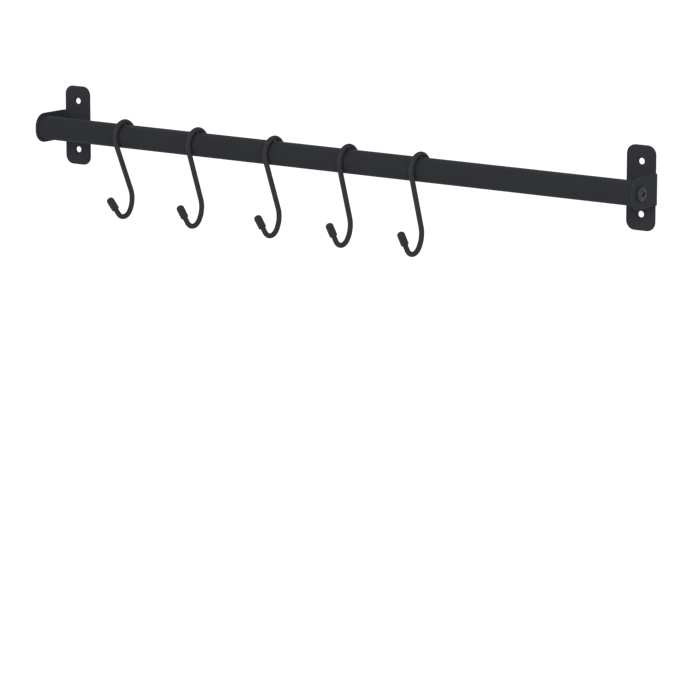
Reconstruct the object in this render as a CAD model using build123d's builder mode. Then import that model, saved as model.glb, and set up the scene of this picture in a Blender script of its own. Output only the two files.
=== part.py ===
from build123d import *
import os
from math import cos, radians, sin

# Wall rail: a round steel tube held between two folded brackets, with wire hooks that slide along it.
# Lengths are millimetres and angles are degrees.
# +X runs along the rail to the right, +Y goes into the wall, whose face is Y = 0, and +Z is up.
# The origin is the centre of the four wall screw holes, on the wall's face.

# Rail
rail_length = 481.5  # over the outer faces of the two bracket arms
axis_to_wall = 22.0  # from the tube's axis to the wall
tube_diameter = 16.0
tube_wall = 1.2

# Brackets, each folded from one sheet: an upright wall plate and an arm that stands out from its outer edge
sheet = 1.5
bend_radius = 1.5  # inside of the fold
edge_round = 0.4  # on the edges that show
plate_width = 21.0
plate_height = 54.0
plate_corner_radius = 6.0
arm_height = 20.0
arm_step = 2.25  # the arm's outer face stands this far outside the plate's edge
arm_reach = 9.0  # from the tube's axis to the arm's front edge
arm_corner_radius = 8.7
wall_hole_margin = 10.25  # from the plate's upper and lower edges to the hole centres
wall_hole_diameter = 4.0
wall_countersink_diameter = 6.5
wall_countersink_angle = 90.0

# End screws, one through each arm into a threaded insert in the tube's end
screw_diameter = 5.0
screw_length = 12.0  # under the head
screw_point_chamfer = 0.6
screw_head_diameter = 9.0
screw_head_height = 2.6
screw_head_round = 1.7
arm_hole_clearance = 0.25  # on the radius
recess_span = 5.0
recess_width = 1.3
recess_depth = 1.8
recess_taper_angle = 8.0
recess_turn_angle = 20.0
insert_length = 14.0
insert_clearance = 0.05  # on the radius, between insert and tube
thread_clearance = 0.05  # on the radius, between screw and insert

# Hooks, each bent from one wire: an eye over the tube, a straight shank, and a bend that opens to the front
hook_places = (-0.353, -0.223, -0.09, 0.0355, 0.154)  # along X, as shares of the rail's length
hook_lean_angles = (25.0, 20.5, 22.0, 18.0, 17.5)  # from upright, the lower end towards the wall
wire_diameter = 3.5
wire_end_round = 0.6
eye_clearance = 0.05  # between the wire and the tube
eye_wrap_angle = 45.0  # how far the eye goes on below the tube's back
shank_length = 36.2
heel_radius = 14.6
heel_angle = 59.5
toe_radius = 7.7
toe_angle = 106.0
leg_length = 13.0

# Cap pushed over the lower end of each hook
cap_diameter = 5.3
cap_grip = 8.5  # length of wire inside the cap
cap_end_wall = 1.4
cap_clearance = 0.05  # on the radius, between cap and wire
cap_tip_round = 1.8
cap_mouth_chamfer = 0.5

# Places worked out from the sizes above
tube_radius = tube_diameter / 2
wire_radius = wire_diameter / 2
arm_outer_x = rail_length / 2
arm_inner_x = arm_outer_x - sheet
arm_front = axis_to_wall + arm_reach
plate_centre_x = arm_outer_x - arm_step - plate_width / 2
wall_hole_spacing = plate_height - 2 * wall_hole_margin
fold_radius = bend_radius + sheet
fold_x = arm_outer_x - fold_radius
eye_radius = tube_radius + eye_clearance + wire_radius

os.makedirs("parts", exist_ok=True)


def save(part, name):
    """Label a finished piece and write it to its own file."""
    part.label = name
    export_step(part, f"parts/{name}.step")


def save_pair(part, name):
    """Write the right-hand piece and its mirror image for the left end of the rail."""
    with BuildPart() as left_hand:
        mirror(part, about=Plane.YZ)
    save(part, f"right_{name}")
    save(left_hand.part, f"left_{name}")


# Tube: it fills the space between the two arms and butts against their inner faces
with BuildPart() as tube:
    with BuildSketch(Plane.YZ.offset(-arm_inner_x)):
        with Locations((-axis_to_wall, 0)):
            Circle(tube_radius)
            Circle(tube_radius - tube_wall, mode=Mode.SUBTRACT)
    extrude(amount=2 * arm_inner_x)
save(tube.part, "tube")

# Arm of the bracket: fold and straight part seen from above, with the two front corners rounded
with BuildPart() as arm:
    with BuildSketch(Plane.XY.offset(-arm_height / 2)):
        with BuildLine():
            outside = CenterArc((fold_x, -fold_radius), fold_radius, 0, 90)
            inside = CenterArc((fold_x, -fold_radius), bend_radius, 0, 90)
            Line(outside @ 1, inside @ 1)
            Polyline(
                outside @ 0,
                (arm_outer_x, -arm_front),
                (arm_inner_x, -arm_front),
                inside @ 0,
            )
        make_face()
    extrude(amount=arm_height)
    fillet(arm.edges().filter_by(Axis.X).group_by(Axis.Y)[0], radius=arm_corner_radius)
    outline = arm.edges().filter_by(Axis.X, reverse=True).filter_by(Axis.Z, reverse=True)
    sides = outline.filter_by_position(Axis.X, fold_x, arm_outer_x, inclusive=(False, True))
    front = arm.edges().filter_by(Axis.Z).group_by(Axis.Y)[0]
    fillet(sides + front, radius=edge_round)
    with BuildSketch(Plane.YZ.offset(arm_inner_x)):
        with Locations((-axis_to_wall, 0)):
            Circle(screw_diameter / 2 + arm_hole_clearance)
    extrude(amount=sheet, mode=Mode.SUBTRACT)

# Bracket: the wall plate is sheared free of the fold above and below the arm.
# Its front is rounded at the rim, and its back stays flat to the edge.
with BuildPart() as bracket:
    with BuildSketch(Plane.XZ):
        with Locations((plate_centre_x, 0)):
            RectangleRounded(plate_width, plate_height, plate_corner_radius)
    extrude(amount=sheet)
    fillet(bracket.faces().sort_by(Axis.Y)[0].edges(), radius=edge_round)
    with BuildSketch(Plane.XZ):
        with Locations((fold_x, 0)):
            Rectangle(fold_radius, arm_height, align=(Align.MIN, Align.CENTER))
    extrude(amount=sheet, mode=Mode.SUBTRACT)
    add(arm.part)

    # Countersunk holes for the wall screws, drilled from the front of the plate
    with Locations(Plane(origin=(plate_centre_x, -sheet, 0), x_dir=(1, 0, 0), z_dir=(0, -1, 0))):
        with GridLocations(0, wall_hole_spacing, 1, 2):
            CounterSinkHole(
                radius=wall_hole_diameter / 2,
                counter_sink_radius=wall_countersink_diameter / 2,
                depth=sheet,
                counter_sink_angle=wall_countersink_angle,
            )
save_pair(bracket.part, "bracket")

# End screw: pan head on the arm's outer face, cross recess, shank into the insert
with BuildPart() as end_screw:
    with BuildSketch(Plane.YZ.offset(arm_outer_x)):
        with Locations((-axis_to_wall, 0)):
            Circle(screw_head_diameter / 2)
    extrude(amount=screw_head_height)
    fillet(end_screw.edges().sort_by(Axis.X)[-1], radius=screw_head_round)
    with BuildSketch(Plane.YZ.offset(arm_outer_x + screw_head_height)):
        with Locations(Location((-axis_to_wall, 0), recess_turn_angle)):
            Rectangle(recess_span, recess_width)
            Rectangle(recess_width, recess_span)
    extrude(amount=-recess_depth, taper=recess_taper_angle, mode=Mode.SUBTRACT)
    with BuildSketch(Plane.YZ.offset(arm_outer_x)):
        with Locations((-axis_to_wall, 0)):
            Circle(screw_diameter / 2)
    extrude(amount=-screw_length)
    chamfer(end_screw.edges().sort_by(Axis.X)[0], length=screw_point_chamfer)
save_pair(end_screw.part, "end_screw")

# Threaded insert: a plug in the tube's end, flush with it
with BuildPart() as insert:
    with BuildSketch(Plane.YZ.offset(arm_inner_x)):
        with Locations((-axis_to_wall, 0)):
            Circle(tube_radius - tube_wall - insert_clearance)
            Circle(screw_diameter / 2 + thread_clearance, mode=Mode.SUBTRACT)
    extrude(amount=-insert_length)
save_pair(insert.part, "insert")


def make_hook(place, lean_angle):
    """A hook and its cap. In the hook's own plane x goes to the wall and y runs up the shank."""
    upright = Plane(
        origin=(place, -axis_to_wall, 0),
        x_dir=(0, cos(radians(lean_angle)), sin(radians(lean_angle))),
        z_dir=(1, 0, 0),
    )
    with BuildPart() as hook:
        with BuildLine(upright) as wire:
            eye = CenterArc((0, 0), eye_radius, -eye_wrap_angle, 180 + eye_wrap_angle)
            shank = Line(eye @ 1, eye @ 1 + (eye % 1) * shank_length)
            heel = JernArc(shank @ 1, shank % 1, heel_radius, -heel_angle)
            toe = JernArc(heel @ 1, heel % 1, toe_radius, -toe_angle)
            leg = Line(toe @ 1, toe @ 1 + (toe % 1) * leg_length)
        with BuildSketch(Plane(origin=eye @ 0, z_dir=eye % 0)):
            Circle(wire_radius)
        sweep(path=wire.wire())
        fillet(hook.faces().sort_by_distance(eye @ 0)[0].edges(), radius=wire_end_round)

    tip = leg @ 1
    along = leg % 1
    with BuildPart() as cap:
        with BuildSketch(Plane(origin=tip - along * cap_grip, x_dir=(1, 0, 0), z_dir=along)):
            Circle(cap_diameter / 2)
        extrude(amount=cap_grip + cap_end_wall)
        fillet(cap.faces().sort_by_distance(tip + along * cap_end_wall)[0].edges(), radius=cap_tip_round)
        chamfer(cap.faces().sort_by_distance(tip - along * cap_grip)[0].edges(), length=cap_mouth_chamfer)
        with BuildSketch(Plane(origin=tip - along * cap_grip, x_dir=(1, 0, 0), z_dir=along)):
            Circle(wire_radius + cap_clearance)
        extrude(amount=cap_grip, mode=Mode.SUBTRACT)
    return hook.part, cap.part


for number, (place, lean_angle) in enumerate(zip(hook_places, hook_lean_angles), start=1):
    hook, cap = make_hook(place * rail_length, lean_angle)
    save(hook, f"hook_{number}")
    save(cap, f"hook_{number}_cap")
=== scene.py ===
from math import radians

import bpy
from mathutils import Matrix, Vector


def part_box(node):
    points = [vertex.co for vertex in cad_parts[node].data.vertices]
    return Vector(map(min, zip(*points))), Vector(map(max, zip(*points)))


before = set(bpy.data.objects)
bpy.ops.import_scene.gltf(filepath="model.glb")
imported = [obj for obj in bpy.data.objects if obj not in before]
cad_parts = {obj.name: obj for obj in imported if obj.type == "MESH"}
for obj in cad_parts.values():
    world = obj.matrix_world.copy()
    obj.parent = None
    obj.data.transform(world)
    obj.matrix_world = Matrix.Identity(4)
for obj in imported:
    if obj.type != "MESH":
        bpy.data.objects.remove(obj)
bpy.context.view_layer.update()


# Tube
# One length of round steel tube, powder coated matte black, with the fine even grain of such a coat.
# Its ends butt against the brackets' arms. The hooks have rubbed faint smoother streaks along its top.


class Socket:
    """What comes out of a shader node. Sums and products with it add the nodes that work them out."""

    def __init__(self, nodes, socket):
        self.nodes = nodes
        self.socket = socket

    def __add__(self, other):
        return self.nodes.maths("ADD", self, other)

    def __sub__(self, other):
        return self.nodes.maths("SUBTRACT", self, other)

    def __rsub__(self, other):
        return self.nodes.maths("SUBTRACT", other, self)

    def __mul__(self, other):
        return self.nodes.maths("MULTIPLY", self, other)

    __radd__ = __add__
    __rmul__ = __mul__


def in_use(sockets, key):
    """The socket of this name among those in use, or of this number where several share a name."""
    enabled = [socket for socket in sockets if socket.enabled]
    if isinstance(key, int):
        return enabled[key]
    return next(socket for socket in enabled if socket.name == key)


class Nodes:
    """The shader nodes of a material or of the world."""

    def __init__(self, owner):
        owner.use_nodes = True
        self.owner = owner
        self.tree = owner.node_tree
        self.tree.nodes.clear()

    def node(self, kind, settings, sockets, output=0):
        """Add a node: its type, its settings, then the values and links of its sockets."""
        added = self.tree.nodes.new("ShaderNode" + kind)
        for name, setting in settings.items():
            setattr(added, name, setting)
        for key, value in sockets.items():
            taken = in_use(added.inputs, key)
            if isinstance(value, Socket):
                self.tree.links.new(value.socket, taken)
            else:
                taken.default_value = value
        return Socket(self, in_use(added.outputs, output)) if added.outputs else None

    def maths(self, operation, first, second):
        return self.node("Math", {"operation": operation}, {0: first, 1: second})

    def largest(self, first, *others):
        """The largest of several values."""
        for other in others:
            first = self.maths("MAXIMUM", first, other)
        return first

    def place(self):
        """A point's place on the object, in metres."""
        return self.node("TexCoord", {}, {}, output="Object")

    def facing(self):
        """The direction that the surface faces."""
        return self.node("NewGeometry", {}, {}, output="Normal")

    def part(self, vector, axis):
        """X, Y or Z of a vector."""
        return self.node("SeparateXYZ", {}, {0: vector}, output=axis)

    def scaled(self, vector, scale):
        return self.node("VectorMath", {"operation": "MULTIPLY"}, {0: vector, 1: scale})

    def noise(self, place, size, detail=2.0):
        """Soft irregular patches of about this size in metres, from 0 to 1."""
        return self.node("TexNoise", {}, {"Vector": place, "Scale": 1 / size, "Detail": detail})

    def step(self, value, start, end):
        """0 where the value is at start or before, 1 at end or after, and smooth in between."""
        sockets = {"Value": value, "From Min": start, "From Max": end}
        return self.node("MapRange", {"interpolation_type": "SMOOTHSTEP"}, sockets)

    def colour(self, share, first, second):
        """The first colour where the share is 0, the second where it is 1."""
        return self.node("Mix", {"data_type": "RGBA"}, {"Factor": share, "A": first, "B": second})

    def relief(self, height, depth, under=None):
        """Bumps of this depth in metres, over an earlier relief where one is given."""
        sockets = {"Height": height, "Strength": 1.0, "Distance": depth}
        if under is not None:
            sockets["Normal"] = under
        return self.node("Bump", {}, sockets)

    def surface(self, sockets):
        """End the material in one surface shader."""
        shader = self.node("BsdfPrincipled", {}, sockets)
        self.node("OutputMaterial", {}, {"Surface": shader})
        return self.owner


def finish(name, material):
    """Give a piece its finish."""
    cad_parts[name].material_slots[0].material = material


coat_cloud_size = 0.03
coat_cloud_share = 0.6  # of the unevenness in colour, and the grain has the rest
coat_ripple_size = 0.004
coat_ripple_depth = 0.00006
coat_grain_size = 0.0009
coat_grain_depth = 0.00005
coat_gloss = 0.15
coat_roughness = 0.78
coat_clouds_dull = 0.1
coat_grain_dulls = 0.08
rubbing_smooths_coat = 0.15


def powder_coat(name, dark, light, polished):
    """Matte powder coat between two near blacks. polished works out where it is rubbed, from 0 to 1."""
    coat = Nodes(bpy.data.materials.new(name))
    place = coat.place()
    clouds = coat.noise(place, coat_cloud_size)
    ripple = coat.noise(place, coat_ripple_size)
    grain = coat.noise(place, coat_grain_size, detail=3.0)
    unevenness = coat_cloud_share * clouds + (1 - coat_cloud_share) * grain
    dullness = coat_roughness + coat_clouds_dull * clouds + coat_grain_dulls * grain
    return coat.surface(
        {
            "Base Color": coat.colour(unevenness, dark, light),
            "Roughness": dullness - rubbing_smooths_coat * polished(coat, place),
            "Specular IOR Level": coat_gloss,
            "Normal": coat.relief(ripple, coat_ripple_depth, coat.relief(grain, coat_grain_depth)),
        }
    )


streak_width = 0.002
streak_squeeze = (0.06, 1, 1)  # X is squeezed before the noise, which draws the streaks out along it


def rubbed_by_hooks(coat, place):
    """Along the top of the tube, in streaks that run lengthways."""
    streaks = coat.noise(coat.scaled(place, streak_squeeze), streak_width)
    upward = coat.part(coat.facing(), "Z")
    return coat.step(upward, start=0.7, end=1.0) * coat.step(streaks, start=0.35, end=0.7)


tube_black = (0.0185, 0.0201, 0.0237, 1)
tube_dark_grey = (0.0271, 0.0294, 0.0345, 1)
finish("tube", powder_coat("tube_coat", tube_black, tube_dark_grey, rubbed_by_hooks))


# Inserts
# A turned steel plug in each end of the tube, bored for the end screw.
# Only a ring of its end shows, through the arm's hole.

rail_ends = ("left", "right")
turning_width = 0.0004
turning_squeeze = (1, 0.1, 0.1)
turning_depth = 0.00003
blotch_size = 0.004
steel_dark_grey = (0.30, 0.29, 0.28, 1)
steel_grey = (0.46, 0.45, 0.43, 1)
steel_roughness = 0.3
turning_dulls = 0.15
blotches_dull = 0.1

steel = Nodes(bpy.data.materials.new("turned_steel"))
steel_place = steel.place()
turning = steel.noise(steel.scaled(steel_place, turning_squeeze), turning_width)
blotches = steel.noise(steel_place, blotch_size)
turned_steel = steel.surface(
    {
        "Base Color": steel.colour(blotches, steel_dark_grey, steel_grey),
        "Metallic": 1.0,
        "Roughness": steel_roughness + turning_dulls * turning + blotches_dull * blotches,
        "Normal": steel.relief(turning, turning_depth),
    }
)
for rail_end in rail_ends:
    finish(rail_end + "_insert", turned_steel)


# Brackets
# Each is one piece of folded steel sheet under the same powder coat: a wall plate with two countersunk
# holes, and an arm that closes the tube's end. The coat is thinner and a little smoother on its edges.

thin_patch_size = 0.005


def thin_on_edges(coat, place):
    """Where the surface faces none of the sheet's own directions, in patches."""
    facing_axes = [coat.part(coat.facing(), axis) for axis in "XYZ"]
    squareness = coat.largest(*[facing * facing for facing in facing_axes])
    patches = coat.noise(place, thin_patch_size)
    return coat.step(1 - squareness, start=0.1, end=0.4) * coat.step(patches, start=0.3, end=0.6)


bracket_black = (0.0240, 0.0258, 0.0298, 1)
bracket_dark_grey = (0.0352, 0.0378, 0.0432, 1)
bracket_coat = powder_coat("bracket_coat", bracket_black, bracket_dark_grey, thin_on_edges)
for rail_end in rail_ends:
    finish(rail_end + "_bracket", bracket_coat)


# End screws
# Pan head screws of blackened steel with a cross recess, each through an arm into the tube's insert.
# The driver has rubbed the recess and its rim bare.

tube_low, tube_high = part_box("tube")
tube_axis_y = (tube_low.y + tube_high.y) / 2
recess_reach = 0.0025  # from the screw's axis to the ends of the cross
bare_reach = 0.8 * recess_reach
black_from = 1.1 * recess_reach
scuff_size = 0.0007
scuff_depth = 0.00002
screw_black = (0.018, 0.019, 0.022, 1)
bare_grey = (0.06, 0.06, 0.065, 1)
bare_metal = 0.8
screw_gloss = 0.35
screw_roughness = 0.45
scuffs_dull = 0.1
driver_smooths = 0.08


def from_axis(nodes, place):
    """How far a point is from the tube's axis, which is also the axis of the end screws."""
    sockets = {0: place, 1: (0, 1, 1), 2: (0, -tube_axis_y, 0)}
    across = nodes.node("VectorMath", {"operation": "MULTIPLY_ADD"}, sockets)
    return nodes.node("VectorMath", {"operation": "LENGTH"}, {0: across})


screw = Nodes(bpy.data.materials.new("blackened_steel"))
screw_place = screw.place()
scuffs = screw.noise(screw_place, scuff_size, detail=3.0)
near_recess = 1 - screw.step(from_axis(screw, screw_place), bare_reach, black_from)
bare = near_recess * screw.step(scuffs, start=0.35, end=0.6)
blackened_steel = screw.surface(
    {
        "Base Color": screw.colour(bare, screw_black, bare_grey),
        "Metallic": bare_metal * bare,
        "Roughness": screw_roughness + scuffs_dull * scuffs - driver_smooths * bare,
        "Specular IOR Level": screw_gloss,
        "Normal": screw.relief(scuffs, scuff_depth),
    }
)
for rail_end in rail_ends:
    finish(rail_end + "_end_screw", blackened_steel)


# Hooks
# Each is bent from one round wire and painted black, the paint a little uneven along it.
# The paint is worn smooth inside the eye, where the hook rides on the tube.

tube_radius = (tube_high.z - tube_low.z) / 2
worn_reach = 0.0005  # out from the tube's surface
unworn_from = 0.0012
paint_patch_size = 0.006
paint_patch_share = 0.6  # of the unevenness in colour, and the specks have the rest
speck_size = 0.0005
speck_depth = 0.00003
wire_black = (0.0300, 0.0308, 0.0325, 1)
wire_dark_grey = (0.0440, 0.0450, 0.0472, 1)
wire_gloss = 0.08
wire_roughness = 0.7
paint_patches_dull = 0.1
specks_dull = 0.06
riding_smooths = 0.2

wire = Nodes(bpy.data.materials.new("wire_paint"))
wire_place = wire.place()
paint_patches = wire.noise(wire_place, paint_patch_size)
specks = wire.noise(wire_place, speck_size, detail=3.0)
worn = 1 - wire.step(from_axis(wire, wire_place), tube_radius + worn_reach, tube_radius + unworn_from)
wire_unevenness = paint_patch_share * paint_patches + (1 - paint_patch_share) * specks
wire_dullness = wire_roughness + paint_patches_dull * paint_patches + specks_dull * specks
wire_paint = wire.surface(
    {
        "Base Color": wire.colour(wire_unevenness, wire_black, wire_dark_grey),
        "Roughness": wire_dullness - riding_smooths * worn,
        "Specular IOR Level": wire_gloss,
        "Normal": wire.relief(specks, speck_depth),
    }
)
hooks = [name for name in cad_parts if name.startswith("hook_") and not name.endswith("_cap")]
for hook in hooks:
    finish(hook, wire_paint)


# Caps
# A soft moulded sleeve on the lower end of each hook, closed at its tip, with the dull skin of rubber.
# Things hung on the hook have rubbed the tip greyer.

skin_size = 0.0004
skin_depth = 0.00004
dust_size = 0.003
dust_share = 0.5  # of the unevenness in colour, and the skin has the rest
rubber_black = (0.013, 0.013, 0.014, 1)
rubber_dark_grey = (0.024, 0.024, 0.025, 1)
rubbed_grey = (0.05, 0.05, 0.05, 1)
rubbed_share = 0.4
rubber_gloss = 0.25
rubber_roughness = 0.62
dust_dulls = 0.12
skin_dulls = 0.1

rubber = Nodes(bpy.data.materials.new("cap_rubber"))
rubber_place = rubber.place()
skin = rubber.noise(rubber_place, skin_size, detail=3.0)
dust = rubber.noise(rubber_place, dust_size)
height_on_cap = rubber.part(rubber.node("TexCoord", {}, {}, output="Generated"), "Z")
rubbed_tip = rubber.step(height_on_cap, start=0.75, end=1.0) * rubber.step(skin, start=0.3, end=0.7)
rubber_unevenness = dust_share * dust + (1 - dust_share) * skin
unrubbed = rubber.colour(rubber_unevenness, rubber_black, rubber_dark_grey)
cap_rubber = rubber.surface(
    {
        "Base Color": rubber.colour(rubbed_share * rubbed_tip, unrubbed, rubbed_grey),
        "Roughness": rubber_roughness + dust_dulls * dust + skin_dulls * skin,
        "Specular IOR Level": rubber_gloss,
        "Normal": rubber.relief(skin, skin_depth),
    }
)
for hook in hooks:
    finish(hook + "_cap", cap_rubber)


# Floor
# A plain pale surface well below the rail, as a worktop is, and a white room round it.
# Both show white, and light the rail less than a white that bright would.

floor_depth = 0.45
floor_half = 15.0
floor_mesh = bpy.data.meshes.new("floor")
floor_sides = ((-1, -1), (1, -1), (1, 1), (-1, 1))
floor_corners = [(x * floor_half, y * floor_half, -floor_depth) for x, y in floor_sides]
floor_mesh.from_pydata(floor_corners, [], [range(len(floor_corners))])
floor = bpy.data.objects.new("floor", floor_mesh)
bpy.context.scene.collection.objects.link(floor)


def seen_white(nodes):
    """1 for what the camera sees, straight, in a reflection or through glass, else 0."""
    rays = ("Is Camera Ray", "Is Glossy Ray", "Is Transmission Ray")
    return nodes.largest(*[nodes.node("LightPath", {}, {}, output=ray) for ray in rays])


floor_grey = (0.8, 0.8, 0.8, 1)
floor_glow = 0.7
paint = Nodes(bpy.data.materials.new("floor_paint"))
floor_base = paint.node("BsdfDiffuse", {}, {"Color": floor_grey})
floor_light = paint.node("Emission", {}, {"Strength": floor_glow * seen_white(paint)})
paint.node("OutputMaterial", {}, {"Surface": paint.node("AddShader", {}, {0: floor_base, 1: floor_light})})
floor_mesh.materials.append(paint.owner)

room_light = 0.5
world = bpy.data.worlds.new("room")
bpy.context.scene.world = world
room = Nodes(world)
white = seen_white(room)
room_strength = white + (1 - white) * room_light
room_glow = room.node("Background", {}, {"Color": (1, 1, 1, 1), "Strength": room_strength})
room.node("OutputWorld", {}, {"Surface": room_glow})


# Lights
# Two large soft lamps in front, one to each side, and a weak one overhead.
# Places and sizes are metres and powers are watts.


def soft_lamp(name, place, aim, size, power):
    """A round lamp that faces the point it is aimed at."""
    lamp = bpy.data.lights.new(name, "AREA")
    lamp.shape = "DISK"
    lamp.size = size
    lamp.energy = power
    holder = bpy.data.objects.new(name, lamp)
    bpy.context.scene.collection.objects.link(holder)
    holder.location = place
    holder.rotation_euler = (Vector(aim) - Vector(place)).to_track_quat("-Z", "Y").to_euler()


soft_lamp("right_lamp", place=(1.5, -1.4, 0.9), aim=(0.1, 0, 0), size=1.2, power=17)
soft_lamp("left_lamp", place=(-0.5, -2.8, 0.6), aim=(0, 0, 0), size=1.6, power=18)
soft_lamp("top_lamp", place=(0.2, -0.6, 2.2), aim=(0, 0, 0), size=1.4, power=1)


# Camera
# To the right of the rail and a little above it, a long way off with a long lens.
# Its azimuth turns it from straight in front, and its elevation lifts it from level.

camera_place = (1.62286, -2.21185, 0.41743)
camera_azimuth = radians(36.223)
camera_elevation = radians(11.291)
camera_roll = radians(0.048)
camera = bpy.data.objects.new("camera", bpy.data.cameras.new("camera"))
camera.data.lens = 217.75
camera.data.sensor_width = 36.0
turn = Matrix.Rotation(camera_azimuth, 4, "Z")
tilt = Matrix.Rotation(radians(90) - camera_elevation, 4, "X")
camera.matrix_world = Matrix.Translation(camera_place) @ turn @ tilt @ Matrix.Rotation(camera_roll, 4, "Z")
bpy.context.scene.collection.objects.link(camera)
bpy.context.scene.camera = camera
bpy.context.scene.view_settings.view_transform = "Standard"

bpy.context.view_layer.update()
